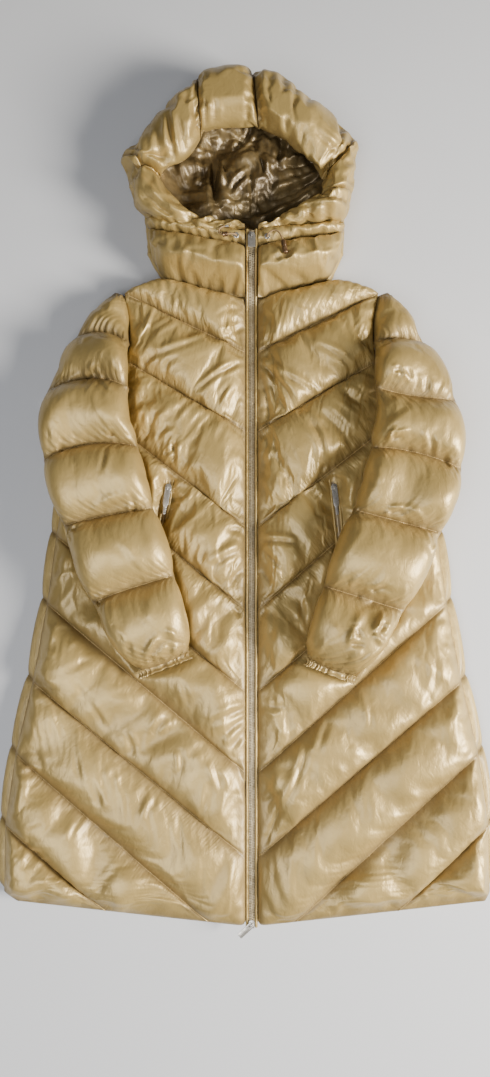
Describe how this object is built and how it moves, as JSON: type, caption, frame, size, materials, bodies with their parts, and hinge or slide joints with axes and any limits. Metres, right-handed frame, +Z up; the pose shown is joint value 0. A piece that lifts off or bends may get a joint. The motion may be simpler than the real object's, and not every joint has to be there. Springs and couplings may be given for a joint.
{
  "type": "long hooded puffer coat",
  "caption": "Long padded coat with a hood, chevron quilting and a front zip, lying flat with its sleeves folded over the front.",
  "frame": {"origin": "middle of the coat's back, on the plane that it lies on, below the zip line", "axes": "+Z up, away from the surface it lies on; +Y towards the hood; +X towards the wearer's left"},
  "size_m": [0.7858, 1.3754, 0.1148],
  "materials": {
    "shell": "glossy lacquered nylon",
    "lining": "satin",
    "zip_tape": "matt woven",
    "zip_metal": "polished",
    "trim_metal": "polished",
    "cord": "braided"
  },
  "bodies": {
    "coat": {"back_panel": "shell", "front_right": "shell", "front_left": "shell", "sleeve_right": "shell", "sleeve_left": "shell", "cuff_right": "shell", "cuff_left": "shell", "collar_right": "shell", "collar_left": "shell", "collar_back": "shell", "cord_channel_right": "shell", "cord_channel_left": "shell", "hood_back": "shell", "hood_side_right": "shell", "hood_side_left": "shell", "hood_gusset": "shell", "piping_right": "shell", "piping_left": "shell", "hood_lining": "lining", "zip_tape": "zip_tape", "pocket_zip_right": "zip_tape", "pocket_zip_left": "zip_tape", "zip_teeth": "zip_metal", "cord_right": "cord", "cord_left": "cord", "slider_top": "trim_metal", "slider_hem": "trim_metal", "slider_pocket_right": "trim_metal", "slider_pocket_left": "trim_metal", "eyelet_right": "trim_metal", "eyelet_left": "trim_metal", "cord_lock": "trim_metal", "cord_tip": "trim_metal", "cord_toggle": "trim_metal"},
    "pull_top": {"pull_top": "trim_metal"},
    "pull_hem": {"pull_hem": "trim_metal"},
    "pull_pocket_right": {"pull_pocket_right": "trim_metal"},
    "pull_pocket_left": {"pull_pocket_left": "trim_metal"}
  },
  "joints": [
    {"name": "pull_top_swing", "type": "hinge", "parent": "coat", "child": "pull_top", "pos_m": [0, 0.382, 0.0772], "axis": [-1, 0, 0], "range_deg": [0, 170]},
    {"name": "pull_hem_swing", "type": "hinge", "parent": "coat", "child": "pull_hem", "pos_m": [0, -0.6935, 0.0315], "axis": [-0.6691, 0.7431, 0], "range_deg": [0, 120]},
    {"name": "pull_pocket_right_swing", "type": "hinge", "parent": "coat", "child": "pull_pocket_right", "pos_m": [-0.13325, -0.01257, 0.0354], "axis": [-0.9885, 0.1513, 0], "range_deg": [0, 150]},
    {"name": "pull_pocket_left_swing", "type": "hinge", "parent": "coat", "child": "pull_pocket_left", "pos_m": [0.13226, -0.01263, 0.0354], "axis": [-0.9947, -0.1027, 0], "range_deg": [0, 150]}
  ]
}
